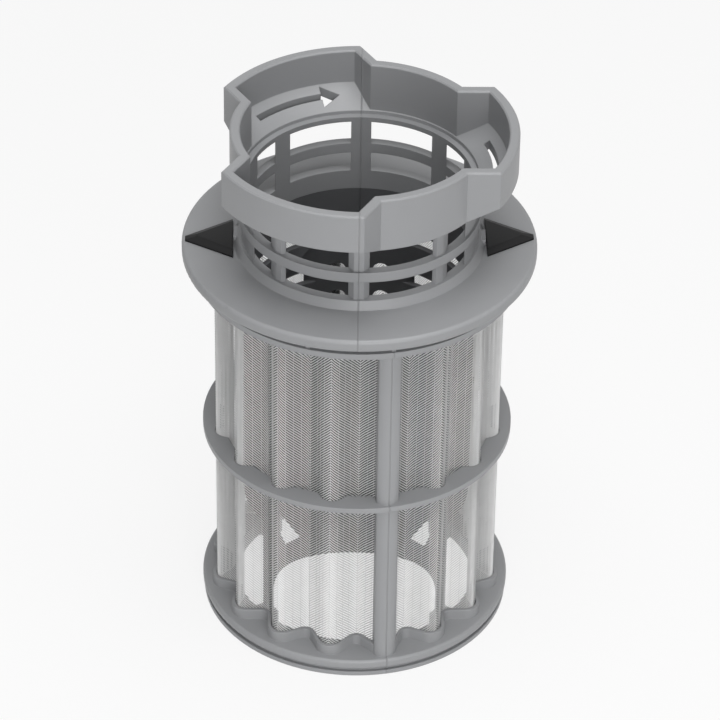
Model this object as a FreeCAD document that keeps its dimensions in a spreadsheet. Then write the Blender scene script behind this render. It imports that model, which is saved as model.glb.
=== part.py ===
"""Dishwasher micro filter: a pleated mesh cylinder under a flanged head with a bayonet collar.

Millimetres, +Z up. The origin is the middle of the underside, on the cylinder's axis, and the
front is -Y. The head stands on the cage, an open inner tube stands between them, and the
pleated mesh wall runs from the cage's base to its top ring.
"""
import FreeCAD, Part
import math
import os
import Sketcher

doc = FreeCAD.newDocument("micro_filter")
sheet = doc.addObject("Spreadsheet::Sheet", "Sizes")

SIZES = [
    # steps of height, each counted from the top of the one before
    ("base_height", 4.4),
    ("lower_bay", 43.1),
    ("hoop_height", 1.4),
    ("upper_bay", 42.3),
    ("crown_thickness", 1.5),
    ("crown_gap", 2.5),
    ("flange_thickness", 3.0),
    ("neck_height", 16.35),
    ("collar_height", 12.95),
    # collar with three lobes
    ("collar_wall", 2.35),
    ("collar_edge", 0.35),
    ("lobe_count", 3),
    ("lobe_angle", 1.2),
    ("lobe_radius", 35.15),
    ("lobe_half_width", 17.85),
    ("recess_radius", 29.1),
    # sloping floor of the collar and its arrow slots
    ("floor_edge_radius", 26.5),
    ("floor_step", 0.85),
    ("floor_slope_angle", 31),
    ("floor_thickness", 2.3),
    ("arrow_radius", 30.1),
    ("arrow_width", 1.3),
    ("arrow_tail_angle", 19.5),
    ("arrow_head_angle", -13.5),
    ("arrow_head_length", 4.2),
    ("arrow_head_half_width", 2.3),
    # open neck: posts behind two rings, left between windows cut from front and back
    ("neck_inner_radius", 25.1),
    ("neck_outer_radius", 27.2),
    ("top_ring_height", 1.25),
    ("middle_ring_height", 2.5),
    ("middle_ring_rise", 6.8),
    ("post_outer_radius", 26.6),
    ("post_chamfer", 1.2),
    ("front_post_half_width", 2.3),
    ("corner_post_start", 16.1),
    ("corner_post_width", 3.3),
    ("side_window_width", 3.9),
    # flange, its sill round the neck, the land and the spigot below it
    ("flange_radius", 40.0),
    ("flange_edge", 0.9),
    ("sill_height", 1.95),
    ("sill_foot_radius", 28.3),
    ("land_height", 0.3),
    ("land_inset", 1.3),
    ("land_clearance", 0.4),
    ("spigot_outer_radius", 28.1),
    ("spigot_wall", 1.5),
    ("spigot_depth", 8.2),
    # arrow markers on the flange and the stops behind them
    ("marker_count", 2),
    ("marker_angle", 2.0),
    ("marker_inset", 0.8),
    ("marker_clearance", 0.15),
    ("marker_half_width", 7.5),
    ("marker_tip_half_width", 0.8),
    ("marker_side", 0.35),
    ("marker_bevel_height", 0.8),
    ("marker_bevel_side", 1.9),
    ("marker_bevel_tip", 2.7),
    ("stop_length", 1.1),
    ("stop_half_width", 2.2),
    ("stop_height", 1.5),
    # cage
    ("base_radius", 36.1),
    ("base_foot_radius", 35.8),
    ("base_foot_height", 1.1),
    ("base_groove_radius", 35.0),
    ("base_groove_height", 1.0),
    ("base_edge", 0.7),
    ("base_bore_radius", 28.3),
    ("lug_pair_count", 2),
    ("lug_angle", 40),
    ("lug_half_angle", 5),
    ("hoop_radius", 35.7),
    ("crown_radius", 37.0),
    ("upstand_radius", 35.3),
    ("upstand_wall", 1.6),
    ("rib_count", 12),
    ("rib_width", 0.9),
    ("upright_count", 2),
    ("upright_angle", -77.5),
    ("upright_radius", 35.0),
    ("upright_width", 5.1),
    ("upright_depth", 4.0),
    ("upright_dome", 1.4),
    ("lip_height", 2.6),
    ("lip_wall", 0.8),
    # pleated mesh wall
    ("pleat_count", 16),
    ("crest_radius", 33.4),
    ("trough_radius", 28.9),
    ("crest_bend", 2.8),
    ("trough_bend", 2.4),
    ("mesh_thickness", 0.5),
    ("gap_width", 5.2),
    ("gap_bar", 1.6),
    ("gap_rows_below", 3),
    ("gap_rows_above", 4),
    # inner tube: its four legs stand on the lugs of the base, and it reaches up into the spigot
    ("tube_clearance", 0.2),
    ("tube_wall", 1.3),
    ("arch_half_width", 19.0),
    ("arch_rise", 24.6),
    ("side_half_width", 15.5),
    ("side_rise", 24.6),
    ("spandrel_rise", 21.1),
    ("spandrel_height", 9.5),
    ("spandrel_point", 12.2),
    ("spandrel_back", 17.4),
    ("slit_count", 3),
    ("slit_rise", 10.5),
    ("slit_height", 3.5),
    ("slit_step", 11.0),
    ("slit_front", 12.0),
    ("slit_back", 23.0),
    ("eye_count", 2),
    ("eye_radius", 2.1),
    ("eye_offset", 5.2),
    ("eye_rise", 15.9),
    ("eye_step", 7.7),
]

STEPS = [alias for alias, number in SIZES[:9]]


def fill_sheet():
    """Write every size as a plain number beside its name."""
    for row, (alias, number) in enumerate(SIZES, start=1):
        cell = "B%d" % row
        sheet.set("A%d" % row, alias)
        sheet.set(cell, str(number))
        sheet.setAlias(cell, alias)
    doc.recompute()


class Term:
    """A number together with the sheet expression that gives it."""

    def __init__(self, text, value):
        self.text = text
        self.value = value

    def joined(self, sign, other, value):
        other_text = other.text if isinstance(other, Term) else repr(other)
        return Term("(%s %s %s)" % (self.text, sign, other_text), value)

    def __add__(self, other):
        return self.joined("+", other, self.value + plain(other))

    def __sub__(self, other):
        return self.joined("-", other, self.value - plain(other))

    def __mul__(self, other):
        return self.joined("*", other, self.value * plain(other))

    def __truediv__(self, other):
        return self.joined("/", other, self.value / plain(other))

    def __neg__(self):
        return Term("(0 - %s)" % self.text, -self.value)


def plain(term):
    """The number of a term, or the number itself."""
    return term.value if isinstance(term, Term) else term


def size(alias):
    """The term for one cell of the sheet."""
    return Term("Sizes.%s" % alias, float(sheet.get(alias)))


def top_of(step):
    """Height of the top of a step above the ground."""
    height = size(STEPS[0])
    for alias in STEPS[1:STEPS.index(step) + 1]:
        height = height + size(alias)
    return height


def tangent(angle):
    """The tangent of an angle in degrees, as a term."""
    return Term("tan(%s * 1 deg)" % angle.text, math.tan(math.radians(angle.value)))


def half_chord(radius, offset):
    """Where a line at an offset from the axis meets a circle about it."""
    text = "sqrt((%s) ^ 2 - (%s) ^ 2)" % (radius.text, offset.text)
    return Term(text, math.sqrt(radius.value ** 2 - offset.value ** 2))


def bind(item, prop, term):
    """Tie a property to the sheet."""
    item.setExpression(prop, term.text)


def new_body(name):
    body = doc.addObject("PartDesign::Body", name)
    body.Label = name
    return body


def origin_item(body, role):
    """One of the body's own origin planes or axes."""
    return [item for item in body.Origin.OriginFeatures if item.Role == role][0]


def new_sketch(body, name, role, height=None):
    """A sketch on one of the body's own planes, lifted to a height where one is given."""
    sketch = body.newObject("Sketcher::SketchObject", name)
    sketch.AttachmentSupport = [(origin_item(body, role), "")]
    sketch.MapMode = "FlatFace"
    if height is not None:
        sketch.AttachmentOffset = FreeCAD.Placement(
            FreeCAD.Vector(0, 0, height.value), FreeCAD.Rotation())
        bind(sketch, "AttachmentOffset.Base.z", height)
    return sketch


def pin_point(sketch, item, end, across, up):
    """Hold one end of a sketch line at a place given by two terms."""
    for kind, term in (("DistanceX", across), ("DistanceY", up)):
        index = sketch.addConstraint(Sketcher.Constraint(kind, -1, 1, item, end, plain(term)))
        if isinstance(term, Term):
            sketch.setExpression("Constraints[%d]" % index, term.text)


def draw_outline(sketch, corners):
    """A closed outline of straight lines, each corner held by two terms."""
    count = len(corners)
    first = sketch.GeometryCount
    for index, (across, up) in enumerate(corners):
        next_across, next_up = corners[(index + 1) % count]
        start = FreeCAD.Vector(plain(across), plain(up), 0)
        end = FreeCAD.Vector(plain(next_across), plain(next_up), 0)
        sketch.addGeometry(Part.LineSegment(start, end), False)
    for index, (across, up) in enumerate(corners):
        item = first + index
        following = first + (index + 1) % count
        sketch.addConstraint(Sketcher.Constraint("Coincident", item, 2, following, 1))
        pin_point(sketch, item, 1, across, up)


def draw_circle(sketch, radius, across=0, up=0):
    """A circle about the sketch's origin, or about a place given by two terms."""
    middle = FreeCAD.Vector(plain(across), plain(up), 0)
    circle = Part.Circle(middle, FreeCAD.Vector(0, 0, 1), radius.value)
    item = sketch.addGeometry(circle, False)
    pin_point(sketch, item, 3, across, up)
    index = sketch.addConstraint(Sketcher.Constraint("Radius", item, radius.value))
    sketch.setExpression("Constraints[%d]" % index, radius.text)


def draw_round_end(sketch, start, half_width, middle, radius):
    """A strip from start to a round end, whose middle lies on the strip's own middle line."""
    reach = half_chord(radius, half_width) + middle
    corners = [(start, -half_width), (reach, -half_width), (reach, half_width), (start, half_width)]
    places = [FreeCAD.Vector(plain(x), plain(y), 0) for x, y in corners]
    low = sketch.addGeometry(Part.LineSegment(places[0], places[1]), False)
    centre = FreeCAD.Vector(plain(middle), 0, 0)
    circle = Part.Circle(centre, FreeCAD.Vector(0, 0, 1), radius.value)
    turn = math.asin(half_width.value / radius.value)
    arc = sketch.addGeometry(Part.ArcOfCircle(circle, -turn, turn), False)
    high = sketch.addGeometry(Part.LineSegment(places[2], places[3]), False)
    back = sketch.addGeometry(Part.LineSegment(places[3], places[0]), False)
    pin_point(sketch, arc, 3, middle, 0)
    sketch.addConstraint(Sketcher.Constraint("Coincident", low, 2, arc, 1))
    sketch.addConstraint(Sketcher.Constraint("Coincident", arc, 2, high, 1))
    sketch.addConstraint(Sketcher.Constraint("Coincident", high, 2, back, 1))
    sketch.addConstraint(Sketcher.Constraint("Coincident", back, 2, low, 1))
    sketch.addConstraint(Sketcher.Constraint("Horizontal", low))
    sketch.addConstraint(Sketcher.Constraint("Horizontal", high))
    index = sketch.addConstraint(Sketcher.Constraint("Radius", arc, radius.value))
    sketch.setExpression("Constraints[%d]" % index, radius.text)
    pin_point(sketch, low, 1, *corners[0])
    pin_point(sketch, high, 2, *corners[3])


def revolve(body, name, corners):
    """Turn an outline of radius and height pairs about the axis."""
    sketch = new_sketch(body, name + "_outline", "XZ_Plane")
    draw_outline(sketch, corners)
    feature = body.newObject("PartDesign::Revolution", name)
    feature.Profile = sketch
    feature.ReferenceAxis = (sketch, ["V_Axis"])
    feature.Angle = 360
    body.Tip = feature
    return feature


def pad(body, name, sketch, length):
    """Raise a sketch upwards by a length."""
    feature = body.newObject("PartDesign::Pad", name)
    feature.Profile = sketch
    bind(feature, "Length", length)
    body.Tip = feature
    return feature


def pocket_both_ways(body, name, sketch, length):
    """Cut a sketch half the length to each side of its plane."""
    feature = body.newObject("PartDesign::Pocket", name)
    feature.Profile = sketch
    bind(feature, "Length", length)
    feature.SideType = "Symmetric"
    body.Tip = feature
    return feature


def pocket_back(body, name, sketch, length):
    """Cut a sketch on the XZ plane backwards, away from the front."""
    feature = body.newObject("PartDesign::Pocket", name)
    feature.Profile = sketch
    bind(feature, "Length", length)
    body.Tip = feature
    return feature


def repeat_round(body, name, features, count):
    """Repeat features evenly round the axis."""
    pattern = body.newObject("PartDesign::PolarPattern", name)
    pattern.Originals = features
    pattern.Axis = (origin_item(body, "Z_Axis"), [""])
    pattern.Angle = 360
    bind(pattern, "Occurrences", count)
    body.Tip = pattern
    return pattern


def turn_body(body, angle):
    """Turn a whole body about the axis."""
    body.Placement = FreeCAD.Placement(
        FreeCAD.Vector(0, 0, 0), FreeCAD.Rotation(FreeCAD.Vector(0, 0, 1), angle.value))
    bind(body, "Placement.Rotation.Angle", angle)


def cut(name, base, tool):
    result = doc.addObject("Part::Cut", name)
    result.Base = base
    result.Tool = tool
    return result


def common(name, base, tool):
    result = doc.addObject("Part::Common", name)
    result.Base = base
    result.Tool = tool
    return result


def fuse(name, shapes):
    result = doc.addObject("Part::MultiFuse", name)
    result.Shapes = shapes
    result.Refine = True
    return result


def floor_height(radius):
    """Height of the collar's sloping floor at a radius."""
    rise = (radius - size("floor_edge_radius")) * tangent(size("floor_slope_angle"))
    return top_of("neck_height") + size("floor_step") + rise


def underside_height(radius):
    """Height of the underside of the sloping floor at a radius."""
    return floor_height(radius) - size("floor_thickness")


def lobed_block(name, core_radius, half_width, tip_radius, bottom, top):
    """A block whose plan is a disc with three parallel-sided, round-ended lobes."""
    body = new_body(name)
    core = new_sketch(body, name + "_core_plan", "XY_Plane", bottom)
    draw_circle(core, core_radius)
    pad(body, name + "_core", core, top - bottom)
    plan = new_sketch(body, name + "_lobe_plan", "XY_Plane", bottom)
    draw_round_end(plan, core_radius / 2, half_width, 0, tip_radius)
    lobe = pad(body, name + "_lobe", plan, top - bottom)
    repeat_round(body, name + "_lobes", [lobe], size("lobe_count"))
    turn_body(body, size("lobe_angle"))
    return body


def make_collar():
    """Lobed wall on a sloping floor with one arrow slot in each lobe."""
    wall = size("collar_wall")
    top = top_of("collar_height")
    ledge = top_of("neck_height")
    ring_bottom = ledge - size("top_ring_height")
    below = ring_bottom - wall
    outside = lobed_block(
        "collar_outside", size("recess_radius"), size("lobe_half_width"),
        size("lobe_radius"), below, top)
    inside = lobed_block(
        "collar_inside", size("recess_radius") - wall, size("lobe_half_width") - wall,
        size("lobe_radius") - wall, below - wall, top + wall)
    wall_ring = cut("collar_wall_ring", outside, inside)

    below_floor = new_body("space_below_collar")
    near = size("neck_inner_radius")
    far = size("lobe_radius") + wall
    revolve(below_floor, "space_below", [
        (near, below - wall),
        (far, below - wall),
        (far, underside_height(far)),
        (near, underside_height(near)),
    ])
    trimmed_wall = cut("collar_wall_trimmed", wall_ring, below_floor)
    edged_wall = doc.addObject("Part::Chamfer", "collar_wall_edged")
    edged_wall.Base = trimmed_wall
    doc.recompute()
    edge = size("collar_edge").value
    edged_wall.Edges = [
        (index, edge, edge)
        for index, side in enumerate(trimmed_wall.Shape.Edges, start=1)
        if is_level(side, top.value)]

    floor = new_body("collar_floor")
    ring = size("neck_outer_radius")
    reach = size("lobe_radius")
    revolve(floor, "floor_disc", [
        (size("neck_inner_radius"), ring_bottom),
        (ring, ring_bottom),
        (ring, underside_height(ring)),
        (reach, underside_height(reach)),
        (reach, floor_height(reach)),
        (size("floor_edge_radius"), floor_height(size("floor_edge_radius"))),
        (size("floor_edge_radius"), ledge),
        (size("neck_inner_radius"), ledge),
    ])
    trimmed_floor = common("collar_floor_trimmed", floor, outside)
    slotted_floor = cut("collar_floor_slotted", trimmed_floor, make_arrow_slots(below, top))
    return [edged_wall, slotted_floor]


def is_level(side, height):
    """Whether an edge lies at one height all along."""
    close = FreeCAD.Base.Precision.confusion()
    return all(math.isclose(vertex.Z, height, abs_tol=close) for vertex in side.Vertexes)


def make_arrow_slots(bottom, top):
    """Curved arrow, one to each lobe: a bent shaft that ends in a three-cornered head."""
    body = new_body("arrow_slots")
    mid = size("arrow_radius")
    half = size("arrow_width") / 2
    tail = size("arrow_tail_angle")
    head = size("arrow_head_angle")
    plan = new_sketch(body, "arrow_shaft_plan", "XY_Plane", bottom)
    draw_ring_piece(plan, mid - half, mid + half, head, tail)
    shaft = pad(body, "arrow_shaft", plan, top - bottom)
    point = new_sketch(body, "arrow_head_plan", "XY_Plane", bottom)
    wide = size("arrow_head_half_width")
    draw_outline(point, [
        polar(mid - wide, head),
        polar(mid, head - size("arrow_head_length") / mid * (180 / math.pi)),
        polar(mid + wide, head),
    ])
    barb = pad(body, "arrow_head", point, top - bottom)
    repeat_round(body, "arrows", [shaft, barb], size("lobe_count"))
    turn_body(body, size("lobe_angle"))
    return body


def polar(radius, angle):
    """Across and up places of a point given by its radius and angle in degrees."""
    turn = math.radians(angle.value)
    across = Term("(%s * cos(%s * 1 deg))" % (radius.text, angle.text), radius.value * math.cos(turn))
    up = Term("(%s * sin(%s * 1 deg))" % (radius.text, angle.text), radius.value * math.sin(turn))
    return across, up


def draw_ring_piece(sketch, inner, outer, low, high):
    """A closed piece of a flat ring between two radii and two angles."""
    start = math.radians(low.value)
    stop = math.radians(high.value)
    middle = FreeCAD.Vector(0, 0, 0)
    normal = FreeCAD.Vector(0, 0, 1)
    arcs = []
    for radius in (inner, outer):
        arc = Part.ArcOfCircle(Part.Circle(middle, normal, radius.value), start, stop)
        item = sketch.addGeometry(arc, False)
        sketch.addConstraint(Sketcher.Constraint("Coincident", item, 3, -1, 1))
        index = sketch.addConstraint(Sketcher.Constraint("Radius", item, radius.value))
        sketch.setExpression("Constraints[%d]" % index, radius.text)
        arcs.append(item)
    for end, angle in ((1, low), (2, high)):
        near = [plain(place) for place in polar(inner, angle)]
        away = [plain(place) for place in polar(outer, angle)]
        side = sketch.addGeometry(
            Part.LineSegment(FreeCAD.Vector(*near, 0), FreeCAD.Vector(*away, 0)), False)
        sketch.addConstraint(Sketcher.Constraint("Coincident", side, 1, arcs[0], end))
        sketch.addConstraint(Sketcher.Constraint("Coincident", side, 2, arcs[1], end))
        sketch.addConstraint(Sketcher.Constraint("PointOnObject", -1, 1, side))
        across, up = polar(outer, angle)
        index = sketch.addConstraint(
            Sketcher.Constraint("DistanceY", -1, 1, side, 2, up.value))
        sketch.setExpression("Constraints[%d]" % index, up.text)


def make_head():
    """Flange, spigot, open neck and collar, moulded as one."""
    body = new_body("head_core")
    bottom = top_of("crown_gap")
    top = top_of("flange_thickness")
    spigot_end = bottom - size("spigot_depth")
    spigot_inner = size("spigot_outer_radius") - size("spigot_wall")
    land_end = bottom - size("land_height")
    land_outer = size("flange_radius") - size("land_inset")
    land_inner = size("crown_radius") + size("land_clearance")
    revolve(body, "flange", [
        (size("neck_inner_radius"), top),
        (size("flange_radius"), top),
        (size("flange_radius"), bottom),
        (land_outer, bottom),
        (land_outer, land_end),
        (land_inner, land_end),
        (land_inner, bottom),
        (size("spigot_outer_radius"), bottom),
        (size("spigot_outer_radius"), spigot_end),
        (spigot_inner, spigot_end),
        (spigot_inner, bottom),
        (size("neck_inner_radius"), bottom),
    ])
    make_posts(body, bottom, top)
    sill_top = top + size("sill_height")
    revolve(body, "sill", [
        (size("neck_inner_radius"), bottom),
        (size("sill_foot_radius"), bottom),
        (size("sill_foot_radius"), top),
        (size("neck_outer_radius"), sill_top),
        (size("neck_inner_radius"), sill_top),
    ])
    ring_bottom = top + size("middle_ring_rise")
    ring_top = ring_bottom + size("middle_ring_height")
    revolve(body, "middle_ring", [
        (size("neck_inner_radius"), ring_bottom),
        (size("neck_outer_radius"), ring_bottom),
        (size("neck_outer_radius"), ring_top),
        (size("neck_inner_radius"), ring_top),
    ])

    stop_plan = new_sketch(body, "stop_plan", "XY_Plane", bottom)
    stop_end = size("sill_foot_radius")
    stop_start = stop_end - size("stop_length")
    stop_side = size("stop_half_width")
    draw_outline(stop_plan, [
        (stop_start, -stop_side),
        (stop_end, -stop_side),
        (stop_end, stop_side),
        (stop_start, stop_side),
    ])
    stop = pad(body, "stop", stop_plan, size("flange_thickness") + size("stop_height"))
    repeat_round(body, "stops", [stop], size("marker_count"))
    round_rings(body, "flange_edge", size("flange_radius"), size("flange_edge"))
    return fuse("head", [body] + make_collar())


def make_posts(body, bottom, top):
    """Neck wall with windows cut straight through from front to back, and chamfered posts."""
    ledge = top_of("neck_height")
    inner = size("neck_inner_radius")
    outer = size("post_outer_radius")
    revolve(body, "neck_wall", [
        (inner, bottom),
        (outer, bottom),
        (outer, ledge - size("top_ring_height")),
        (inner, ledge - size("top_ring_height")),
    ])
    windows = new_sketch(body, "neck_window_outline", "XZ_Plane")
    corner = size("corner_post_start") + size("corner_post_width")
    spans = [
        (size("front_post_half_width"), size("corner_post_start")),
        (corner, corner + size("side_window_width")),
    ]
    for near, far in spans:
        for sign in (1, -1):
            draw_outline(windows, [
                (near * sign, top),
                (far * sign, top),
                (far * sign, ledge),
                (near * sign, ledge),
            ])
    pocket_both_ways(body, "neck_windows", windows, outer * 2)
    doc.recompute()
    base = body.Tip
    corners = [
        "Edge%d" % index for index, side in enumerate(base.Shape.Edges, start=1)
        if is_post_corner(side, outer.value, corner.value)]
    chamfer = body.newObject("PartDesign::Chamfer", "post_chamfers")
    chamfer.Base = (base, corners)
    bind(chamfer, "Size", size("post_chamfer"))
    body.Tip = chamfer


def is_post_corner(side, radius, reach):
    """Whether an edge stands upright on the neck wall's outside, on a front or corner post."""
    close = FreeCAD.Base.Precision.confusion()
    places = [vertex.Point for vertex in side.Vertexes]
    if len(places) != 2 or math.isclose(places[0].z, places[1].z, abs_tol=close):
        return False
    return all(
        math.isclose(math.hypot(place.x, place.y), radius, abs_tol=close)
        and abs(place.x) < reach + close for place in places)


def round_rings(body, name, radius, edge):
    """Round every full circle of this radius on the body so far."""
    doc.recompute()
    base = body.Tip
    rings = [
        "Edge%d" % index for index, side in enumerate(base.Shape.Edges, start=1)
        if isinstance(side.Curve, Part.Circle)
        and math.isclose(side.Curve.Radius, radius.value)]
    feature = body.newObject("PartDesign::Fillet", name)
    feature.Base = (base, rings)
    bind(feature, "Radius", edge)
    body.Tip = feature


def make_marker(name, angle):
    """Black arrow marker that lies on the flange: a low block under a wide bevel."""
    body = new_body(name)
    foot = top_of("flange_thickness")
    shoulder = foot + size("marker_side")
    back = size("sill_foot_radius") + size("marker_clearance")
    tip = size("flange_radius") - size("marker_inset")
    wide = size("marker_half_width")
    narrow = size("marker_tip_half_width")
    plan = new_sketch(body, name + "_plan", "XY_Plane", foot)
    draw_outline(plan, [(back, -wide), (tip, -narrow), (tip, narrow), (back, wide)])
    pad(body, name + "_block", plan, size("marker_side"))

    low_plan = new_sketch(body, name + "_shoulder", "XY_Plane", shoulder)
    draw_outline(low_plan, [(back, -wide), (tip, -narrow), (tip, narrow), (back, wide)])
    crest = new_sketch(
        body, name + "_crest", "XY_Plane", shoulder + size("marker_bevel_height"))
    crest_tip = tip - size("marker_bevel_tip")
    crest_wide = wide - size("marker_bevel_side")
    crest_narrow = narrow / 2
    draw_outline(crest, [
        (back, -crest_wide),
        (crest_tip, -crest_narrow),
        (crest_tip, crest_narrow),
        (back, crest_wide),
    ])
    bevel = body.newObject("PartDesign::AdditiveLoft", name + "_bevel")
    bevel.Profile = low_plan
    bevel.Sections = [crest]
    bevel.Ruled = True
    body.Tip = bevel
    turn_body(body, angle)
    return body


def pleat_wire(offset, height):
    """Closed outline of the pleats: crest and trough arcs joined by the lines that touch both.

    An offset moves the whole outline outwards, so crest arcs grow by it and trough arcs shrink.
    """
    count = int(size("pleat_count").value)
    crest_bend = size("crest_bend").value + offset
    trough_bend = size("trough_bend").value - offset
    crest_middle = size("crest_radius").value - size("crest_bend").value
    trough_middle = size("trough_radius").value + size("trough_bend").value
    first = math.radians(size("upright_angle").value)
    step = math.pi / count
    edges = []
    previous = None
    start = None
    for index in range(2 * count):
        is_crest = index % 2 == 0
        angle = first + step * index
        here = on_circle(crest_middle if is_crest else trough_middle, angle, height)
        bend = crest_bend if is_crest else trough_bend
        ends = []
        for side in (-1, 1):
            other = on_circle(trough_middle if is_crest else crest_middle, angle + side * step, height)
            ends.append(touch_point(here, other, crest_bend + trough_bend, bend, side, is_crest))
        way = 1 if is_crest else -1
        tip = here + outward(angle) * (bend * way)
        if previous is None:
            start = ends[0]
        else:
            edges.append(Part.LineSegment(previous, ends[0]).toShape())
        edges.append(Part.Arc(ends[0], tip, ends[1]).toShape())
        previous = ends[1]
    edges.append(Part.LineSegment(previous, start).toShape())
    return Part.Wire(edges)


def outward(angle):
    return FreeCAD.Vector(math.cos(angle), math.sin(angle), 0)


def on_circle(radius, angle, height):
    return FreeCAD.Vector(radius * math.cos(angle), radius * math.sin(angle), height)


def touch_point(here, other, bends, bend, side, is_crest):
    """Where the line that touches both bends leaves the bend about here."""
    gap = other - here
    lean = math.acos(bends / gap.Length)
    turn = -lean * side if is_crest else lean * side
    toward = FreeCAD.Rotation(FreeCAD.Vector(0, 0, 1), math.degrees(turn)).multVec(gap)
    return here + toward.normalize() * bend


def pleated_prism(name, outer, inner, bottom, top):
    """Upright wall between two pleated outlines, or the solid inside one of them."""
    wires = [pleat_wire(outer, bottom)]
    if inner is not None:
        wires.append(pleat_wire(inner, bottom))
    shape = Part.makeFace(wires, "Part::FaceMakerBullseye").extrude(
        FreeCAD.Vector(0, 0, top - bottom))
    feature = doc.addObject("Part::Feature", name)
    feature.Shape = shape
    return feature


def make_mesh():
    """Pleated wall with rows of gaps along its crests, apart from those behind the uprights."""
    bottom = top_of("base_height").value
    top = top_of("upper_bay").value
    wall = pleated_prism("pleated_wall", 0, -size("mesh_thickness").value, bottom, top)
    gaps = doc.addObject("Part::Feature", "mesh_gaps")
    gaps.Shape = Part.makeCompound(gap_boxes(bottom, top))
    return cut("pleated_mesh", wall, gaps)


def gap_boxes(bottom, top):
    """One box for each gap, in even rows below and above the middle hoop."""
    bar = size("gap_bar").value
    low = bottom + size("lip_height").value
    bays = [
        (low, top_of("lower_bay").value, int(size("gap_rows_below").value)),
        (top_of("hoop_height").value, top, int(size("gap_rows_above").value)),
    ]
    boxes = []
    for start, stop, rows in bays:
        tall = (stop - start - bar * (rows + 1)) / rows
        for row in range(rows):
            foot = start + bar + row * (tall + bar)
            boxes.extend(gap_row(foot, tall))
    return boxes


def gap_row(foot, tall):
    """The gaps of one row, one to each free crest."""
    count = int(size("pleat_count").value)
    held = count // int(size("upright_count").value)
    wide = size("gap_width").value
    inner = size("crest_radius").value - size("crest_bend").value + size("mesh_thickness").value
    deep = size("crest_bend").value + size("mesh_thickness").value
    boxes = []
    for index in range(count):
        if index % held == 0:
            continue
        box = Part.makeBox(deep, wide, tall, FreeCAD.Vector(inner, -wide / 2, foot))
        turn = size("upright_angle").value + index * 360 / count
        box.rotate(FreeCAD.Vector(0, 0, 0), FreeCAD.Vector(0, 0, 1), turn)
        boxes.append(box)
    return boxes


def make_cage():
    """Base, middle hoop and top crown on two uprights, with a wavy lip round the mesh foot."""
    body = new_body("cage_frame_blank")
    top = top_of("base_height")
    groove_top = size("base_foot_height") + size("base_groove_height")
    revolve(body, "base", [
        (size("base_bore_radius"), Term("0", 0)),
        (size("base_foot_radius"), Term("0", 0)),
        (size("base_foot_radius"), size("base_foot_height")),
        (size("base_groove_radius"), size("base_foot_height")),
        (size("base_groove_radius"), groove_top),
        (size("base_radius"), groove_top),
        (size("base_radius"), top),
        (size("base_bore_radius"), top),
    ])
    lug_plan = new_sketch(body, "lug_plan", "XY_Plane", Term("0", 0))
    for sign in (1, -1):
        lug_middle = size("lug_angle") * sign - size("upright_angle")
        draw_ring_piece(
            lug_plan, size("neck_inner_radius"), size("base_bore_radius") + size("base_edge"),
            lug_middle - size("lug_half_angle"), lug_middle + size("lug_half_angle"))
    lug_pair = pad(body, "lug_pair", lug_plan, top)
    repeat_round(body, "lug_pairs", [lug_pair], size("lug_pair_count"))
    round_rings(body, "base_edge", size("base_radius"), size("base_edge"))

    crown_bottom = top_of("upper_bay")
    upright_plan = new_sketch(body, "upright_plan", "XY_Plane", size("base_foot_height"))
    inner = size("upright_radius") - size("upright_depth")
    half = size("upright_width") / 2
    dome = size("upright_dome")
    bend = (half * half + dome * dome) / (dome * 2)
    draw_round_end(upright_plan, inner, half, size("upright_radius") - bend, bend)
    upright = pad(body, "upright", upright_plan, crown_bottom - size("base_foot_height"))
    repeat_round(body, "uprights", [upright], size("upright_count"))

    revolve(body, "hoop", [
        (inner, top_of("lower_bay")),
        (size("hoop_radius"), top_of("lower_bay")),
        (size("hoop_radius"), top_of("hoop_height")),
        (inner, top_of("hoop_height")),
    ])

    crown_top = top_of("crown_thickness")
    seat = top_of("crown_gap")
    crown_inner = size("spigot_outer_radius") + size("tube_clearance")
    upstand = size("upstand_radius")
    revolve(body, "crown", [
        (crown_inner, crown_bottom),
        (size("crown_radius"), crown_bottom),
        (size("crown_radius"), crown_top),
        (upstand, crown_top),
        (upstand, seat),
        (upstand - size("upstand_wall"), seat),
        (upstand - size("upstand_wall"), crown_top),
        (crown_inner, crown_top),
    ])
    rib_plan = new_sketch(body, "rib_plan", "XY_Plane", crown_bottom)
    rib_half = size("rib_width") / 2
    draw_outline(rib_plan, [
        (upstand - size("upstand_wall") / 2, -rib_half),
        (size("crown_radius") - rib_half, -rib_half),
        (size("crown_radius") - rib_half, rib_half),
        (upstand - size("upstand_wall") / 2, rib_half),
    ])
    rib = pad(body, "rib", rib_plan, seat - crown_bottom)
    repeat_round(body, "ribs", [rib], size("rib_count"))
    turn_body(body, size("upright_angle"))

    core = pleated_prism("space_inside_mesh", 0, None, top.value, crown_bottom.value)
    lip = pleated_prism(
        "mesh_foot_lip", size("lip_wall").value, 0, top.value,
        top.value + size("lip_height").value)
    open_frame = cut("cage_frame_open", body, core)
    return fuse("cage_frame", [open_frame, lip])


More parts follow.
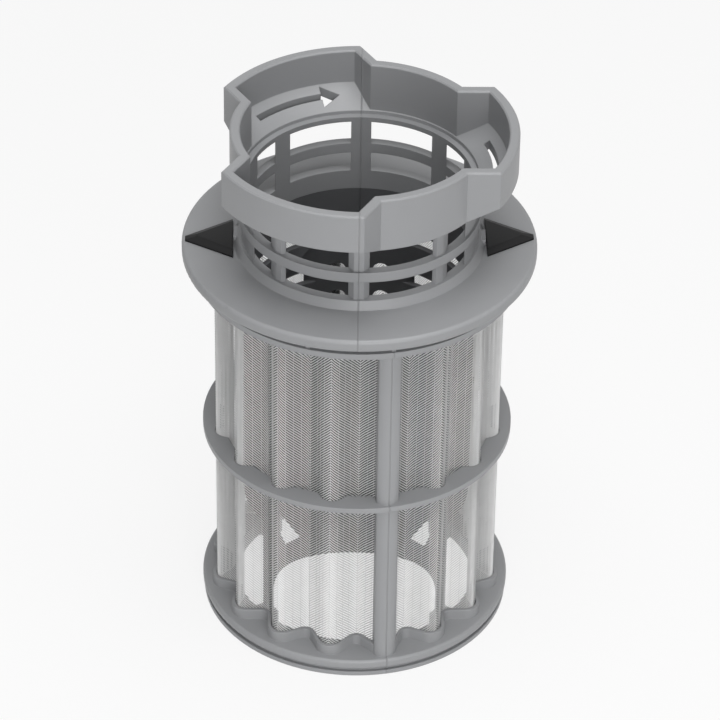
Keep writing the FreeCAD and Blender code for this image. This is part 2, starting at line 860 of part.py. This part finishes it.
def make_tube():
    """Inner tube that stands on four legs under the head, cut open all round."""
    body = new_body("inner_tube")
    base = top_of("base_height")
    outer = size("spigot_outer_radius") - size("spigot_wall") - size("tube_clearance")
    inner = outer - size("tube_wall")
    revolve(body, "tube_wall", [
        (inner, base),
        (outer, base),
        (outer, top_of("crown_gap")),
        (inner, top_of("crown_gap")),
    ])
    across = (outer + size("tube_wall")) * 2

    front = new_sketch(body, "arch_outline", "XZ_Plane")
    draw_arch(front, base, size("arch_half_width"), size("arch_rise"))
    pocket_both_ways(body, "arches", front, across)

    spandrel = new_sketch(body, "spandrel_outline", "XZ_Plane")
    low = base + size("spandrel_rise")
    high = low + size("spandrel_height")
    for sign in (1, -1):
        draw_outline(spandrel, [
            (size("spandrel_back") * sign, high),
            (size("spandrel_point") * sign, (low + high) / 2),
            (size("spandrel_back") * sign - size("tube_wall") * sign, low),
            (size("spandrel_back") * sign, low + size("tube_wall") * 2),
        ])
    pocket_both_ways(body, "spandrels", spandrel, across)

    hoop_top = top_of("hoop_height")
    eyes = new_sketch(body, "eye_outline", "XZ_Plane")
    for row in range(int(size("eye_count").value)):
        middle = hoop_top + size("eye_rise") + size("eye_step") * row
        for sign in (1, -1):
            draw_circle(eyes, size("eye_radius"), size("eye_offset") * sign, middle)
    pocket_back(body, "eyes", eyes, across / 2)

    sides = new_sketch(body, "side_outline", "YZ_Plane")
    side_half = size("side_half_width")
    draw_outline(sides, [
        (-side_half, base),
        (side_half, base),
        (side_half, base + size("side_rise")),
        (-side_half, base + size("side_rise")),
    ])
    for row in range(int(size("slit_count").value)):
        low = hoop_top + size("slit_rise") + size("slit_step") * row
        draw_outline(sides, [
            (-size("slit_front"), low),
            (size("slit_back"), low),
            (size("slit_back"), low + size("slit_height")),
            (-size("slit_front"), low + size("slit_height")),
        ])
    pocket_both_ways(body, "side_windows", sides, across)
    return body


def draw_arch(sketch, foot, half_width, rise):
    """An arch: a level foot, short upright jambs and one round head."""
    jamb = rise - half_width
    spring = foot + jamb
    middle = FreeCAD.Vector(0, spring.value, 0)
    left = FreeCAD.Vector(-half_width.value, spring.value, 0)
    right = FreeCAD.Vector(half_width.value, spring.value, 0)
    low_left = FreeCAD.Vector(-half_width.value, foot.value, 0)
    low_right = FreeCAD.Vector(half_width.value, foot.value, 0)
    sill = sketch.addGeometry(Part.LineSegment(low_left, low_right), False)
    jamb_right = sketch.addGeometry(Part.LineSegment(low_right, right), False)
    circle = Part.Circle(middle, FreeCAD.Vector(0, 0, 1), half_width.value)
    head = sketch.addGeometry(Part.ArcOfCircle(circle, 0, math.pi), False)
    jamb_left = sketch.addGeometry(Part.LineSegment(left, low_left), False)
    sketch.addConstraint(Sketcher.Constraint("Coincident", sill, 2, jamb_right, 1))
    sketch.addConstraint(Sketcher.Constraint("Coincident", jamb_right, 2, head, 1))
    sketch.addConstraint(Sketcher.Constraint("Coincident", head, 2, jamb_left, 1))
    sketch.addConstraint(Sketcher.Constraint("Coincident", jamb_left, 2, sill, 1))
    pin_point(sketch, sill, 1, -half_width, foot)
    pin_point(sketch, sill, 2, half_width, foot)
    sketch.addConstraint(Sketcher.Constraint("Vertical", jamb_right))
    sketch.addConstraint(Sketcher.Constraint("Vertical", jamb_left))
    index = sketch.addConstraint(
        Sketcher.Constraint("DistanceY", -1, 1, head, 3, spring.value))
    sketch.setExpression("Constraints[%d]" % index, spring.text)
    sketch.addConstraint(Sketcher.Constraint("Horizontal", head, 1, head, 3))
    sketch.addConstraint(Sketcher.Constraint("Horizontal", head, 2, head, 3))


def check_document():
    """Stop where an object of the document failed."""
    for item in doc.Objects:
        for word in ("Invalid", "Error"):
            if word in item.State:
                raise RuntimeError("%s is %s" % (item.Name, item.State))


def write_parts(parts):
    """Write one file for each sub-part, named for it."""
    os.makedirs("parts", exist_ok=True)
    for part in parts:
        part.Label = part.Name
        shape = part.Shape
        if shape.isNull() or not shape.isValid():
            raise RuntimeError("%s has no valid shape" % part.Label)
        print("%-14s solids %d, volume %.0f mm3" % (part.Label, len(shape.Solids), shape.Volume))
        shape.exportStep("parts/%s.step" % part.Label)


fill_sheet()
kept_parts = [
    make_head(),
    make_marker("left_marker", size("marker_angle") + 180),
    make_marker("right_marker", size("marker_angle")),
    make_mesh(),
    make_cage(),
    make_tube(),
]
doc.recompute()
check_document()
write_parts(kept_parts)
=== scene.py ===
# %% [markdown]
# The object is the micro filter of a dishwasher: a cylinder of pleated woven wire cloth in a grey
# moulded cage, with a flanged head on top. The mouldings come ready from the frame, so this script
# gives them their finishes, and it weaves the wire cloth, which is too fine for a solid model.

import math

import bpy
import numpy as np
from mathutils import Matrix, Vector


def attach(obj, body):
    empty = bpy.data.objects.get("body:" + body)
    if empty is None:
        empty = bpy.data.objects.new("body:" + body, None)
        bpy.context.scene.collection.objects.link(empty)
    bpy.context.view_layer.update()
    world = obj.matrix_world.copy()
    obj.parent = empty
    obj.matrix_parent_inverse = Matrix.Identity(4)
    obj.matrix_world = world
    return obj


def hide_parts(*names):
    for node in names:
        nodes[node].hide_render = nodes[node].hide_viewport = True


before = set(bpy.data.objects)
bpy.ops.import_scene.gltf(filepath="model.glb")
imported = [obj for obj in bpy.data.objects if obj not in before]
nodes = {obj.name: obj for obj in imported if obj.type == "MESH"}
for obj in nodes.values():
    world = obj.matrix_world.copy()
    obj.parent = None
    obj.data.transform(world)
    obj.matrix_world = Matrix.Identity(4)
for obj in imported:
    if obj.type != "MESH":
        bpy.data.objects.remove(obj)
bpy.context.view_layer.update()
MM = 0.001
print("pieces in the frame:", sorted(nodes))

# %% [markdown]
# A picture can only match its photograph if it is taken from the same place. The photograph was
# taken with a long lens from above the front, and its ellipses give the height of the view. A
# camera could be aimed with a constraint, but a matrix built from three directions is exact, and
# it also holds the slight lean of the picture.

# %% Camera
LENS_MM = 200.0
VIEW_ELEVATION = math.radians(35.93)
VIEW_LEAN = math.radians(0.88)
VIEW_DISTANCE = 919.2 * MM
VIEW_AIM = Vector((0.515, 0.0, 64.45)) * MM
NEAR_CLIP = 50 * MM
FAR_CLIP = 20000 * MM

back = Vector((0, -math.cos(VIEW_ELEVATION), math.sin(VIEW_ELEVATION)))
level_right = Vector((1, 0, 0))
level_up = back.cross(level_right)
right = level_right * math.cos(VIEW_LEAN) + level_up * math.sin(VIEW_LEAN)
up = back.cross(right)
camera = bpy.data.objects.new("camera", bpy.data.cameras.new("camera"))
bpy.context.scene.collection.objects.link(camera)
camera.data.lens = LENS_MM
camera.data.clip_start = NEAR_CLIP
camera.data.clip_end = FAR_CLIP
camera.matrix_world = Matrix.Translation(VIEW_AIM + back * VIEW_DISTANCE) @ Matrix(
    (right, up, back)).transposed().to_4x4()
bpy.context.scene.camera = camera
print("camera at", [round(v, 3) for v in camera.location])

# %% [markdown]
# Materials are small networks of nodes, and writing them out by hand takes many lines. Two helpers
# are enough for all of them: one turns a colour as a painter would write it into the linear light
# that the renderer works in, and one adds a node with its settings and links.

# %% Helpers for materials


def linear(code):
    """An sRGB hex colour as linear red, green and blue, with an alpha of 1.

    Each part is divided by 12.92 where it is dark. Elsewhere 0.055 is added, the sum is divided
    by 1.055 and raised to the power 2.4.
    """
    parts = np.array([int(code[i:i + 2], 16) for i in (1, 3, 5)]) / 255
    light = np.where(parts <= 0.04045, parts / 12.92, ((parts + 0.055) / 1.055) ** 2.4)
    return (*light.tolist(), 1.0)


def node(tree, kind, inputs=None, **settings):
    """Adds one node. Inputs are values, or sockets of other nodes to link from."""
    made = tree.nodes.new(kind)
    for name, value in settings.items():
        setattr(made, name, value)
    for name, value in (inputs or {}).items():
        socket = made.inputs[name]
        if isinstance(value, bpy.types.NodeSocket):
            tree.links.new(value, socket)
        else:
            socket.default_value = value
    return made


def new_material(name):
    """An empty node material and its tree."""
    material = bpy.data.materials.new(name)
    material.use_nodes = True
    material.node_tree.nodes.clear()
    return material, material.node_tree


# %% [markdown]
# The mouldings are polypropylene. It is moulded in a steel tool whose surface was eroded by
# sparks, which leaves a fine even grain, so highlights are broad and soft. Corners of a moulding
# are never sharp: the tool leaves them rounded by a few tenths of a millimetre. They could be
# bevelled one by one, but a Bevel node rounds the shading of every corner by the same radius. The
# two halves of the tool meet in a plane through the axis, and leave a fine raised line there.

# %% Moulded plastic


def parting_line(tree, place, angle):
    """A raised line where the tool's halves meet: 1 in a plane through the axis, 0 beside it.

    The place is turned back by the angle, so that its y is the distance from the plane. The height
    falls evenly from 1 to 0 over half the line's width, drawn 0.4 mm wide so that it shows.
    """
    line_mm = 0.4
    turned = node(tree, "ShaderNodeVectorRotate", {"Vector": place, "Angle": -angle},
                  rotation_type="Z_AXIS")
    apart = node(tree, "ShaderNodeSeparateXYZ", {"Vector": turned.outputs["Vector"]})
    distance = node(tree, "ShaderNodeMath", {0: apart.outputs["Y"]}, operation="ABSOLUTE")
    return node(tree, "ShaderNodeMapRange", {
        "Value": distance.outputs[0], "From Max": line_mm / 2 * MM,
        "To Min": 1.0, "To Max": 0.0}).outputs["Result"]


def moulded_plastic(name, colour, shade, roughness, line_angle, grain_height=0.02, mirror=0.5):
    """Fine matt moulded plastic, its tone drifting a little from the colour to the shade.

    The grain of the tool is 0.12 mm on the real part. It is drawn 0.5 mm coarse, so that it shows.
    """
    grain_mm = 0.5
    drift_mm = 26.0
    corner_mm = 0.28
    line_height = 0.14
    material, tree = new_material(name)
    place = node(tree, "ShaderNodeTexCoord").outputs["Object"]
    drift = node(tree, "ShaderNodeTexNoise", {
        "Vector": place, "Scale": 1 / (drift_mm * MM), "Detail": 3.0, "Roughness": 0.6})
    tone = node(tree, "ShaderNodeMix", {
        "Factor": drift.outputs["Fac"], "A": linear(colour), "B": linear(shade)}, data_type="RGBA")
    grain = node(tree, "ShaderNodeTexNoise", {
        "Vector": place, "Scale": 1 / (grain_mm * MM), "Detail": 2.0, "Roughness": 0.5})
    gloss = node(tree, "ShaderNodeMapRange", {
        "Value": drift.outputs["Fac"], "To Min": roughness - 0.04, "To Max": roughness + 0.06})
    corners = node(tree, "ShaderNodeBevel", {"Radius": corner_mm * MM}, samples=6)
    line = node(tree, "ShaderNodeBump", {
        "Height": parting_line(tree, place, line_angle), "Distance": line_height * MM,
        "Normal": corners.outputs["Normal"]})
    relief = node(tree, "ShaderNodeBump", {
        "Height": grain.outputs["Fac"], "Distance": grain_height * MM, "Strength": 0.6,
        "Normal": line.outputs["Normal"]})
    shader = node(tree, "ShaderNodeBsdfPrincipled", {
        "Base Color": tone.outputs["Result"], "Roughness": gloss.outputs["Result"],
        "IOR": 1.49, "Specular IOR Level": mirror, "Normal": relief.outputs["Normal"]})
    node(tree, "ShaderNodeOutputMaterial", {"Surface": shader.outputs["BSDF"]})
    return material


HEAD_LINE = math.radians(-90)
CAGE_LINE = math.radians(-77.5)
head_plastic = moulded_plastic("moulded_grey_polypropylene", "#969799", "#8f9092", 0.42, HEAD_LINE)
cage_plastic = moulded_plastic(
    "moulded_grey_cage_polypropylene", "#9b9c9e", "#939496", 0.40, CAGE_LINE)
# The inner tube gets a much darker grey than the head: painted shade for the inside of the cage.
tube_plastic = moulded_plastic("moulded_polypropylene_painted_inner_shade", "#5c5d5f", "#555658", 0.50, HEAD_LINE)
marker_plastic = moulded_plastic(
    "moulded_black_polypropylene", "#101011", "#141415", 0.40, HEAD_LINE,
    grain_height=0.01, mirror=0.16)
print("plastics:", head_plastic.name, cage_plastic.name, tube_plastic.name, marker_plastic.name)

# %% [markdown]
# The mouldings' own surfaces arrive as loose triangles. They are welded where they meet, split
# again at sharp corners and shaded smoothly, so that round walls look round and edges stay crisp.
# Large flat faces lead when normals are averaged, which keeps flat faces flat up to their edges.

# %% Finish the mouldings
SHARP_CORNER = math.radians(28)
WELD_DISTANCE = 0.002 * MM
FLAT_FACE_WEIGHT = 90


def finish_moulding(name, material):
    """Smooth shading and a plastic for one moulding of the frame."""
    piece = nodes[name]
    piece.data.materials.clear()
    piece.data.materials.append(material)
    weld = piece.modifiers.new("weld", "WELD")
    weld.merge_threshold = WELD_DISTANCE
    split = piece.modifiers.new("split", "EDGE_SPLIT")
    split.split_angle = SHARP_CORNER
    weights = piece.modifiers.new("weights", "WEIGHTED_NORMAL")
    weights.weight = FLAT_FACE_WEIGHT


for moulding, plastic in {
    "head": head_plastic,
    "cage_frame": cage_plastic,
    "inner_tube": tube_plastic,
    "left_marker": marker_plastic,
    "right_marker": marker_plastic,
}.items():
    finish_moulding(moulding, plastic)
    print(moulding, len(nodes[moulding].data.polygons), "faces")

# %% [markdown]
# The cloth is woven from stainless wire. Stout wires climb to every crest and drop to every
# trough, so that they lie one above the other in chevrons, and thin upright wires behind them tie
# them together. A flat sheet with a pattern of holes would be lighter, but the photograph shows
# the wires stepping along every pleat, and white light between them, so each wire is modelled.
# Four sides to a wire are enough at this size.

# %% Outline of the pleats
PLEATS = 16
FIRST_CREST = math.radians(-77.5)
CREST_BEND = 2.8 * MM
TROUGH_BEND = 2.4 * MM
SHEET = 0.5 * MM
CURVE_POINTS = 40
sheet_points = np.empty(len(nodes["pleated_mesh"].data.vertices) * 3)
nodes["pleated_mesh"].data.vertices.foreach_get("co", sheet_points)
sheet_points = sheet_points.reshape(-1, 3)
sheet_radii = np.hypot(sheet_points[:, 0], sheet_points[:, 1])
CREST_RADIUS = sheet_radii.max()
TROUGH_RADIUS = sheet_radii.min() + SHEET
SHEET_LOW = float(sheet_points[:, 2].min())
SHEET_HIGH = float(sheet_points[:, 2].max())
print("crests at", CREST_RADIUS / MM, "mm, troughs at", TROUGH_RADIUS / MM, "mm")


def pleat_line(steps):
    """Evenly spaced points along the middle of the pleated sheet, and their outward directions.

    In one pleat a crest arc turns about a point inside the crest, and a trough arc about a point
    outside the trough. The straight flank touches both, so each arc ends at the angle between its
    own middle line and the line of centres, less the arc whose cosine is the two bends' sum over
    the distance between centres. A pleat runs from the middle of one crest to the middle of the
    next, with as many points as steps, and is turned into every place round the axis. Points are
    complex numbers, across and back.
    """
    half_step = math.pi / PLEATS
    outward = np.exp(1j * half_step)
    crest = CREST_RADIUS - CREST_BEND + 0j
    trough = (TROUGH_RADIUS + TROUGH_BEND) * outward
    lean = math.acos((CREST_BEND + TROUGH_BEND) / abs(trough - crest))
    crest_reach = np.angle(trough - crest) - lean
    trough_reach = abs(np.angle((crest - trough) / -outward)) - lean
    rise = np.linspace(0, 1, CURVE_POINTS)
    crest_way = np.exp(1j * rise * crest_reach)
    swing = np.linspace(-1, 1, 2 * CURVE_POINTS)
    trough_way = outward * np.exp(-1j * swing * trough_reach)
    last_way = outward ** 2 * np.exp(1j * (rise - 1) * crest_reach)
    one = np.concatenate([
        crest + (CREST_BEND - SHEET / 2) * crest_way,
        trough - (TROUGH_BEND + SHEET / 2) * trough_way,
        crest * outward ** 2 + (CREST_BEND - SHEET / 2) * last_way])
    way = np.concatenate([crest_way, trough_way, last_way])
    along = np.concatenate([[0], np.cumsum(abs(np.diff(one)))])
    wanted = along[-1] * np.arange(steps) / steps
    point = np.interp(wanted, along, one.real) + 1j * np.interp(wanted, along, one.imag)
    out = np.interp(wanted, along, way.real) + 1j * np.interp(wanted, along, way.imag)
    turns = np.exp(1j * (FIRST_CREST + 2 * half_step * np.arange(PLEATS)))[:, None]
    return (turns * point).ravel(), (turns * out / abs(out)).ravel(), along[-1]


# %% [markdown]
# All the stout wires of a bay are one array of corners, with an axis for the wires, one for the
# steps along them and one for the sides of the wire. A wire that would climb out of the sheet is
# held at its edge and cut off there. Cutting whole wires with a boolean gives the same picture,
# but it takes minutes for a hundred thousand faces. Real wires are about 0.1 mm thick. Those would
# be finer than a pixel, so the wires are drawn 0.28 mm thick and far apart enough to show.

# %% Weave the wire cloth
STEPS_PER_PLEAT = 22
TIES_PER_PLEAT = 8
WIRE_PITCH = 0.72 * MM
STOUT_WIRE = 0.14 * MM  # its radius
TIE_WIRE = 0.045 * MM  # its radius
SIDES = 4
HOOP_MIDDLE = 48.2 * MM  # the level at which the cloth is parted into two pieces


def mesh_piece(name, points, faces, material):
    """A smooth-shaded object from an array of points and an array of faces."""
    mesh = bpy.data.meshes.new(name)
    mesh.from_pydata(points, [], faces.tolist())
    mesh.polygons.foreach_set("use_smooth", np.ones(len(mesh.polygons), dtype=bool))
    mesh.materials.append(material)
    mesh.validate()
    piece = bpy.data.objects.new(name, mesh)
    bpy.context.scene.collection.objects.link(piece)
    return piece


def wire_sides(radius):
    """Corners of a wire's section: the cosine goes outwards and the sine goes along the sheet."""
    turn = 2 * math.pi * np.arange(SIDES) / SIDES
    return radius * np.cos(turn), radius * np.sin(turn)


def chevron_wires(levels, low, high):
    """Wires that zigzag round the filter, one for each level, cut off at two heights.

    A wire's height is its level plus a quarter of the pleat's length times a wave that falls
    evenly from 1 at a crest to -1 at a trough, so it climbs at 45 degrees along the cloth. A corner
    is the line's point, moved outwards by the section's cosine and up by its sine. The sine is
    stretched by the square root of 2, because the section is upright and the wire slants.
    """
    line, out, pleat_length = pleat_line(STEPS_PER_PLEAT)
    wires, steps = len(levels), len(line)
    phase = (np.arange(steps) % STEPS_PER_PLEAT) / STEPS_PER_PLEAT
    wave = 2 * abs(2 * phase - 1) - 1
    raw = levels[:, None] + pleat_length / 4 * wave
    inside = (raw >= low) & (raw <= high)
    kept = inside | np.roll(inside, -1, axis=1)
    outward, upward = wire_sides(STOUT_WIRE)
    flat = np.broadcast_to(line[:, None] + out[:, None] * outward, (wires, steps, SIDES))
    tall = np.clip(raw, low, high)[:, :, None] + upward * math.sqrt(2)
    points = np.stack([flat.real, flat.imag, tall], axis=-1).reshape(-1, 3)

    def corner(wire, step, side):
        return (wire * steps + step % steps) * SIDES + side % SIDES

    wire, step = np.nonzero(kept)
    wire, step, side = wire[:, None], step[:, None], np.arange(SIDES)
    walls = np.stack([
        corner(wire, step, side), corner(wire, step + 1, side),
        corner(wire, step + 1, side + 1), corner(wire, step, side + 1)], axis=-1)
    before = np.roll(kept, 1, axis=1)
    start_wire, start_step = np.nonzero(kept & ~before)
    stop_wire, stop_step = np.nonzero(before & ~kept)
    starts = corner(start_wire[:, None], start_step[:, None], side)
    stops = corner(stop_wire[:, None], stop_step[:, None], side[::-1])
    faces = np.concatenate([walls.reshape(-1, 4), starts, stops])
    used, faces = np.unique(faces, return_inverse=True)
    return points[used], faces.reshape(-1, 4)


def tie_wires(low, high):
    """Thin straight wires behind the stout ones, closed at both ends.

    A corner is the line's point, moved inwards by the two radii, out by the section's cosine and
    sideways by its sine.
    """
    line, out, _ = pleat_line(TIES_PER_PLEAT)
    outward, sideways = wire_sides(TIE_WIRE)
    flat = line[:, None] + out[:, None] * (outward - STOUT_WIRE - TIE_WIRE + 1j * sideways)
    ends = [np.stack([flat.real, flat.imag, np.full(flat.shape, z)], axis=-1) for z in (low, high)]
    points = np.stack(ends, axis=1).reshape(-1, 3)
    first = (np.arange(len(line)) * 2 * SIDES)[:, None]
    side = np.arange(SIDES)
    after = (side + 1) % SIDES
    walls = np.stack([
        first + side, first + after, first + SIDES + after, first + SIDES + side], axis=-1)
    floor = (first + side[::-1])[:, None, :]
    roof = (first + SIDES + side)[:, None, :]
    return points, np.concatenate([walls, floor, roof], axis=1).reshape(-1, 4)


# %% [markdown]
# Stainless wire is drawn through a die and left bright. One wire alone would be a mirror, but
# thousands of them side by side send light every way, as a pale matt surface does. A material
# that is fully metallic would show white streaks on the sides of the pleats, so this one is not.

# %% Stainless wire


def drawn_stainless_wire():
    """Bright drawn wire whose tone and gloss change slightly along the cloth.

    So fine a wire scatters light much as a pale matt one does, so it is only slightly metallic.
    """
    drift_mm = 3.0
    material, tree = new_material("drawn_stainless_wire")
    place = node(tree, "ShaderNodeTexCoord").outputs["Object"]
    drift = node(tree, "ShaderNodeTexNoise", {
        "Vector": place, "Scale": 1 / (drift_mm * MM), "Detail": 4.0, "Roughness": 0.7})
    tone = node(tree, "ShaderNodeMix", {
        "Factor": drift.outputs["Fac"], "A": linear("#d2d2d2"), "B": linear("#e8e8e8")},
        data_type="RGBA")
    gloss = node(tree, "ShaderNodeMapRange", {
        "Value": drift.outputs["Fac"], "To Min": 0.36, "To Max": 0.50})
    shader = node(tree, "ShaderNodeBsdfPrincipled", {
        "Base Color": tone.outputs["Result"], "Metallic": 0.10,
        "Roughness": gloss.outputs["Result"], "Specular IOR Level": 0.25})
    node(tree, "ShaderNodeOutputMaterial", {"Surface": shader.outputs["BSDF"]})
    return material


stainless = drawn_stainless_wire()
climb = pleat_line(STEPS_PER_PLEAT)[2] / 4
levels = np.arange(SHEET_LOW - climb, SHEET_HIGH + climb, WIRE_PITCH)
cloth = {
    "wire_cloth_lower": chevron_wires(levels[levels < HOOP_MIDDLE], SHEET_LOW, SHEET_HIGH),
    "wire_cloth_upper": chevron_wires(levels[levels >= HOOP_MIDDLE], SHEET_LOW, SHEET_HIGH),
    "tie_wires": tie_wires(SHEET_LOW, SHEET_HIGH),
}
for name, (points, faces) in cloth.items():
    piece = mesh_piece(name, points, faces, stainless)
    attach(piece, "root")
    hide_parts("pleated_mesh")
    print(name, 2 * len(faces), "triangles")

# %% [markdown]
# The filter stands on a white table in soft light from all round, with one large lamp above it
# and one before it, as for a catalogue picture. The table is plain white to the camera and only
# darkens a little under the object, so that its shadow is kept.

# %% Floor, lamps and world
FLOOR_HALF = 3000 * MM
WHITE_SHARE = 0.84  # how much of the table is plain white to the camera
AMBIENT = 0.14  # strength of the light from all round, for scattered light only


def ray_is_seen(tree):
    """1 for rays from the camera, a mirror or a see-through surface, and 0 for scattered light."""
    path = node(tree, "ShaderNodeLightPath")
    both = node(tree, "ShaderNodeMath", {
        0: path.outputs["Is Camera Ray"], 1: path.outputs["Is Glossy Ray"]}, operation="MAXIMUM")
    return node(tree, "ShaderNodeMath", {
        0: both.outputs[0], 1: path.outputs["Is Transmission Ray"]}, operation="MAXIMUM").outputs[0]


def white_table():
    """White laminate that is seen as plain white but takes a soft shadow."""
    material, tree = new_material("white_laminate_table")
    share = node(tree, "ShaderNodeMath", {
        0: ray_is_seen(tree), 1: WHITE_SHARE}, operation="MULTIPLY")
    lit = node(tree, "ShaderNodeBsdfDiffuse", {"Color": linear("#eeeeee")})
    plain = node(tree, "ShaderNodeEmission", {"Color": linear("#ffffff"), "Strength": 1.0})
    both = node(tree, "ShaderNodeMixShader", {
        0: share.outputs[0], 1: lit.outputs["BSDF"], 2: plain.outputs["Emission"]})
    node(tree, "ShaderNodeOutputMaterial", {"Surface": both.outputs["Shader"]})
    return material


corners = FLOOR_HALF * np.array([(-1, -1, 0), (1, -1, 0), (1, 1, 0), (-1, 1, 0)], dtype=float)
table = mesh_piece("table", corners, np.array([[0, 1, 2, 3]]), white_table())


def area_lamp(name, place, aim, size, power):
    """A square soft box that shines from a place towards a point, in metres and watts."""
    lamp = bpy.data.objects.new(name, bpy.data.lights.new(name, "AREA"))
    lamp.data.size = size
    lamp.data.energy = power
    lamp.location = place
    lamp.rotation_euler = (Vector(aim) - Vector(place)).to_track_quat("-Z", "Y").to_euler()
    bpy.context.scene.collection.objects.link(lamp)


area_lamp("top_box", (0.05, -0.10, 0.90), (0, 0, 0.10), 0.7, 6.0)
area_lamp("front_box", (0.10, -0.90, 0.30), (0, 0, 0.06), 0.6, 4.8)

world = bpy.data.worlds.new("white_studio")
bpy.context.scene.world = world
world.use_nodes = True
world.node_tree.nodes.clear()
strength = node(world.node_tree, "ShaderNodeMapRange", {
    "Value": ray_is_seen(world.node_tree), "To Min": AMBIENT, "To Max": 1.0})
sky = node(world.node_tree, "ShaderNodeBackground", {
    "Color": linear("#ffffff"), "Strength": strength.outputs["Result"]})
node(world.node_tree, "ShaderNodeOutputWorld", {"Surface": sky.outputs["Background"]})
bpy.context.scene.view_settings.view_transform = "Standard"
